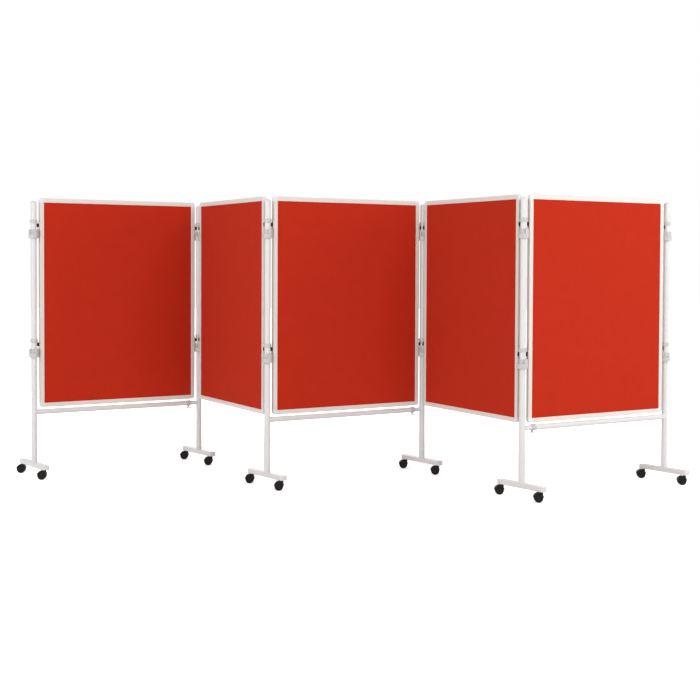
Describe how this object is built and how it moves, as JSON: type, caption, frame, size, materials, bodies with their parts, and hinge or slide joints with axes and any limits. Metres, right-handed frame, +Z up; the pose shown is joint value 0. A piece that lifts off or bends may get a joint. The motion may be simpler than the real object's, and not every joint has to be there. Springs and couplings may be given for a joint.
{
  "type": "rolling partition",
  "caption": "Freestanding folding screen: felt-covered boards in pale frames, carried by wheeled stands and joined by swivelling link panels so that the row folds in a zigzag.",
  "frame": {"origin": "on the floor under the centre of the middle panel", "axes": "+X along the row, to the right as seen from the front, +Y to the back, +Z up"},
  "size_m": [3.8384, 1.6134, 1.594],
  "materials": {
    "powder_coat": "satin",
    "edge_profile": "satin",
    "grey_cap": "satin",
    "grey_collar": "satin",
    "zinc_screw": "satin",
    "red_felt": "matte",
    "black_hook": "satin",
    "caster_body": "satin",
    "caster_wheel": "satin"
  },
  "bodies": {
    "stand_left": {"left_posts": "powder_coat", "left_foot_bars": "powder_coat", "left_end_caps": "grey_cap", "left_rail": "powder_coat", "left_collars": "grey_collar", "left_fasteners": "zinc_screw", "left_board": "red_felt", "left_frame": "edge_profile", "left_hooks": "black_hook"},
    "stand_middle": {"middle_posts": "powder_coat", "middle_foot_bars": "powder_coat", "middle_end_caps": "grey_cap", "middle_rail": "powder_coat", "middle_collars": "grey_collar", "middle_fasteners": "zinc_screw", "middle_board": "red_felt", "middle_frame": "edge_profile", "middle_hooks": "black_hook"},
    "stand_right": {"right_posts": "powder_coat", "right_foot_bars": "powder_coat", "right_end_caps": "grey_cap", "right_rail": "powder_coat", "right_collars": "grey_collar", "right_fasteners": "zinc_screw", "right_board": "red_felt", "right_frame": "edge_profile", "right_hooks": "black_hook"},
    "link_left": {"left_link_board": "red_felt", "left_link_frame": "edge_profile", "left_link_hooks": "black_hook", "left_link_swivel_rings": "grey_collar"},
    "link_right": {"right_link_board": "red_felt", "right_link_frame": "edge_profile", "right_link_hooks": "black_hook", "right_link_swivel_rings": "grey_collar"},
    "caster_1_front": {"caster_1_front_fork": "caster_body"},
    "wheels_1_front": {"caster_1_front_wheels": "caster_wheel"},
    "caster_1_rear": {"caster_1_rear_fork": "caster_body"},
    "wheels_1_rear": {"caster_1_rear_wheels": "caster_wheel"},
    "caster_2_front": {"caster_2_front_fork": "caster_body"},
    "wheels_2_front": {"caster_2_front_wheels": "caster_wheel"},
    "caster_2_rear": {"caster_2_rear_fork": "caster_body"},
    "wheels_2_rear": {"caster_2_rear_wheels": "caster_wheel"},
    "caster_3_front": {"caster_3_front_fork": "caster_body"},
    "wheels_3_front": {"caster_3_front_wheels": "caster_wheel"},
    "caster_3_rear": {"caster_3_rear_fork": "caster_body"},
    "wheels_3_rear": {"caster_3_rear_wheels": "caster_wheel"},
    "caster_4_front": {"caster_4_front_fork": "caster_body"},
    "wheels_4_front": {"caster_4_front_wheels": "caster_wheel"},
    "caster_4_rear": {"caster_4_rear_fork": "caster_body"},
    "wheels_4_rear": {"caster_4_rear_wheels": "caster_wheel"},
    "caster_5_front": {"caster_5_front_fork": "caster_body"},
    "wheels_5_front": {"caster_5_front_wheels": "caster_wheel"},
    "caster_5_rear": {"caster_5_rear_fork": "caster_body"},
    "wheels_5_rear": {"caster_5_rear_wheels": "caster_wheel"},
    "caster_6_front": {"caster_6_front_fork": "caster_body"},
    "wheels_6_front": {"caster_6_front_wheels": "caster_wheel"},
    "caster_6_rear": {"caster_6_rear_fork": "caster_body"},
    "wheels_6_rear": {"caster_6_rear_wheels": "caster_wheel"}
  },
  "joints": [
    {"name": "fold_left_inner", "type": "hinge", "parent": "stand_middle", "child": "link_left", "pos_m": [-0.44008, -0.30246, 1], "axis": [0, 0, 1], "range_deg": [-32, 148]},
    {"name": "fold_left_outer", "type": "hinge", "parent": "link_left", "child": "stand_left", "pos_m": [-0.91662, 0.65333, 1], "axis": [0, 0, -1], "range_deg": [-32, 148]},
    {"name": "fold_right_inner", "type": "hinge", "parent": "stand_middle", "child": "link_right", "pos_m": [0.44008, 0.30246, 1], "axis": [0, 0, 1], "range_deg": [-32, 148]},
    {"name": "fold_right_outer", "type": "hinge", "parent": "link_right", "child": "stand_right", "pos_m": [0.91662, -0.65333, 1], "axis": [0, 0, -1], "range_deg": [-32, 148]},
    {"name": "swivel_1_front", "type": "hinge", "parent": "stand_left", "child": "caster_1_front", "pos_m": [-1.709, -0.07933, 0.06], "axis": [0, 0, 1], "continuous": true},
    {"name": "roll_1_front", "type": "hinge", "parent": "caster_1_front", "child": "wheels_1_front", "pos_m": [-1.725, -0.07933, 0.024], "axis": [0, 1, 0], "continuous": true},
    {"name": "swivel_1_rear", "type": "hinge", "parent": "stand_left", "child": "caster_1_rear", "pos_m": [-1.88458, 0.17615, 0.06], "axis": [0, 0, 1], "continuous": true},
    {"name": "roll_1_rear", "type": "hinge", "parent": "caster_1_rear", "child": "wheels_1_rear", "pos_m": [-1.90058, 0.17615, 0.024], "axis": [0, 1, 0], "continuous": true},
    {"name": "swivel_2_front", "type": "hinge", "parent": "stand_left", "child": "caster_2_front", "pos_m": [-0.82883, 0.52559, 0.06], "axis": [0, 0, 1], "continuous": true},
    {"name": "roll_2_front", "type": "hinge", "parent": "caster_2_front", "child": "wheels_2_front", "pos_m": [-0.84483, 0.52559, 0.024], "axis": [0, 1, 0], "continuous": true},
    {"name": "swivel_2_rear", "type": "hinge", "parent": "stand_left", "child": "caster_2_rear", "pos_m": [-1.00442, 0.78107, 0.06], "axis": [0, 0, 1], "continuous": true},
    {"name": "roll_2_rear", "type": "hinge", "parent": "caster_2_rear", "child": "wheels_2_rear", "pos_m": [-1.02042, 0.78107, 0.024], "axis": [0, 1, 0], "continuous": true},
    {"name": "swivel_3_front", "type": "hinge", "parent": "stand_middle", "child": "caster_3_front", "pos_m": [-0.35229, -0.4302, 0.06], "axis": [0, 0, 1], "continuous": true},
    {"name": "roll_3_front", "type": "hinge", "parent": "caster_3_front", "child": "wheels_3_front", "pos_m": [-0.36829, -0.4302, 0.024], "axis": [0, 1, 0], "continuous": true},
    {"name": "swivel_3_rear", "type": "hinge", "parent": "stand_middle", "child": "caster_3_rear", "pos_m": [-0.52788, -0.17472, 0.06], "axis": [0, 0, 1], "continuous": true},
    {"name": "roll_3_rear", "type": "hinge", "parent": "caster_3_rear", "child": "wheels_3_rear", "pos_m": [-0.54388, -0.17472, 0.024], "axis": [0, 1, 0], "continuous": true},
    {"name": "swivel_4_front", "type": "hinge", "parent": "stand_middle", "child": "caster_4_front", "pos_m": [0.52788, 0.17472, 0.06], "axis": [0, 0, 1], "continuous": true},
    {"name": "roll_4_front", "type": "hinge", "parent": "caster_4_front", "child": "wheels_4_front", "pos_m": [0.51188, 0.17472, 0.024], "axis": [0, 1, 0], "continuous": true},
    {"name": "swivel_4_rear", "type": "hinge", "parent": "stand_middle", "child": "caster_4_rear", "pos_m": [0.35229, 0.4302, 0.06], "axis": [0, 0, 1], "continuous": true},
    {"name": "roll_4_rear", "type": "hinge", "parent": "caster_4_rear", "child": "wheels_4_rear", "pos_m": [0.33629, 0.4302, 0.024], "axis": [0, 1, 0], "continuous": true},
    {"name": "swivel_5_front", "type": "hinge", "parent": "stand_right", "child": "caster_5_front", "pos_m": [1.00442, -0.78107, 0.06], "axis": [0, 0, 1], "continuous": true},
    {"name": "roll_5_front", "type": "hinge", "parent": "caster_5_front", "child": "wheels_5_front", "pos_m": [0.98842, -0.78107, 0.024], "axis": [0, 1, 0], "continuous": true},
    {"name": "swivel_5_rear", "type": "hinge", "parent": "stand_right", "child": "caster_5_rear", "pos_m": [0.82883, -0.52559, 0.06], "axis": [0, 0, 1], "continuous": true},
    {"name": "roll_5_rear", "type": "hinge", "parent": "caster_5_rear", "child": "wheels_5_rear", "pos_m": [0.81283, -0.52559, 0.024], "axis": [0, 1, 0], "continuous": true},
    {"name": "swivel_6_front", "type": "hinge", "parent": "stand_right", "child": "caster_6_front", "pos_m": [1.88458, -0.17615, 0.06], "axis": [0, 0, 1], "continuous": true},
    {"name": "roll_6_front", "type": "hinge", "parent": "caster_6_front", "child": "wheels_6_front", "pos_m": [1.86858, -0.17615, 0.024], "axis": [0, 1, 0], "continuous": true},
    {"name": "swivel_6_rear", "type": "hinge", "parent": "stand_right", "child": "caster_6_rear", "pos_m": [1.709, 0.07933, 0.06], "axis": [0, 0, 1], "continuous": true},
    {"name": "roll_6_rear", "type": "hinge", "parent": "caster_6_rear", "child": "wheels_6_rear", "pos_m": [1.693, 0.07933, 0.024], "axis": [0, 1, 0], "continuous": true}
  ]
}
